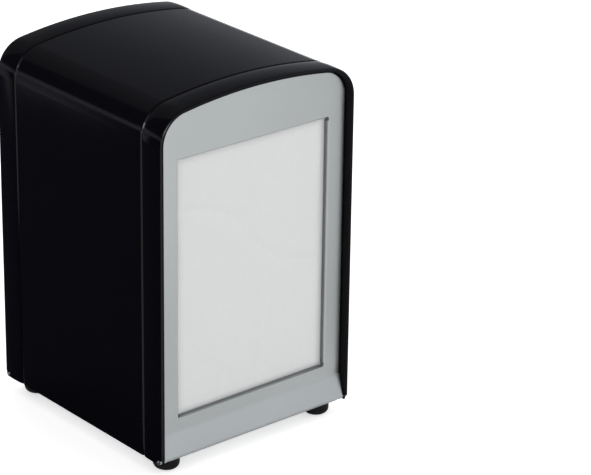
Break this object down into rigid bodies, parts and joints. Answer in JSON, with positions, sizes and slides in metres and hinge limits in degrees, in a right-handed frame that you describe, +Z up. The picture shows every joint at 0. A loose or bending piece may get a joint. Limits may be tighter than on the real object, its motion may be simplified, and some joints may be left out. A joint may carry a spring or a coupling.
{
  "type": "napkin dispenser",
  "caption": "Two-sided spring-fed table napkin dispenser: black sheet-steel case with a crowned top, hinged satin face plates with windows, napkins inside, rubber feet.",
  "frame": {"origin": "on the table, under the middle of the case: the centre of the bottom of the bounding box", "axes": "+X across a face from left to right, -Y out of the front face, +Z up"},
  "size_m": [0.098, 0.108, 0.1578],
  "materials": {
    "black_enamel": "gloss",
    "satin_chrome": "satin",
    "zinc_sheet": "dull zinc",
    "spring_steel": "bright",
    "fastener_steel": "bright",
    "foot_rubber": "matte",
    "napkin_paper": "soft matte"
  },
  "bodies": {
    "case": {"outer_shell": "black_enamel", "base_pan": "zinc_sheet", "centre_partition": "zinc_sheet", "foot_front_left": "foot_rubber", "foot_front_right": "foot_rubber", "foot_rear_left": "foot_rubber", "foot_rear_right": "foot_rubber", "foot_rivets": "fastener_steel", "foot_washers": "fastener_steel", "front_hinge_rod": "fastener_steel", "front_latch_spring": "spring_steel", "front_pusher_spring": "spring_steel", "front_napkin_pack": "napkin_paper", "front_lead_napkin": "napkin_paper", "rear_hinge_rod": "fastener_steel", "rear_latch_spring": "spring_steel", "rear_pusher_spring": "spring_steel", "rear_napkin_pack": "napkin_paper", "rear_lead_napkin": "napkin_paper"},
    "front_face": {"front_face_plate": "satin_chrome"},
    "rear_face": {"rear_face_plate": "satin_chrome"},
    "front_pusher": {"front_pusher_plate": "zinc_sheet"},
    "rear_pusher": {"rear_pusher_plate": "zinc_sheet"}
  },
  "joints": [
    {"name": "front_face_hinge", "type": "hinge", "parent": "case", "child": "front_face", "pos_m": [0, -0.0514, 0.0079], "axis": [1, 0, 0], "range_deg": [0, 90]},
    {"name": "front_pusher_slide", "type": "slide", "parent": "case", "child": "front_pusher", "axis": [0, -1, 0], "range_m": [0, 0.034], "stiffness_N_per_m": 60, "springref_m": 0.075, "deforming": ["front_pusher_spring", "front_napkin_pack"]},
    {"name": "rear_face_hinge", "type": "hinge", "parent": "case", "child": "rear_face", "pos_m": [0, 0.0514, 0.0079], "axis": [-1, 0, 0], "range_deg": [0, 90]},
    {"name": "rear_pusher_slide", "type": "slide", "parent": "case", "child": "rear_pusher", "axis": [0, 1, 0], "range_m": [0, 0.034], "stiffness_N_per_m": 60, "springref_m": 0.075, "deforming": ["rear_pusher_spring", "rear_napkin_pack"]}
  ]
}
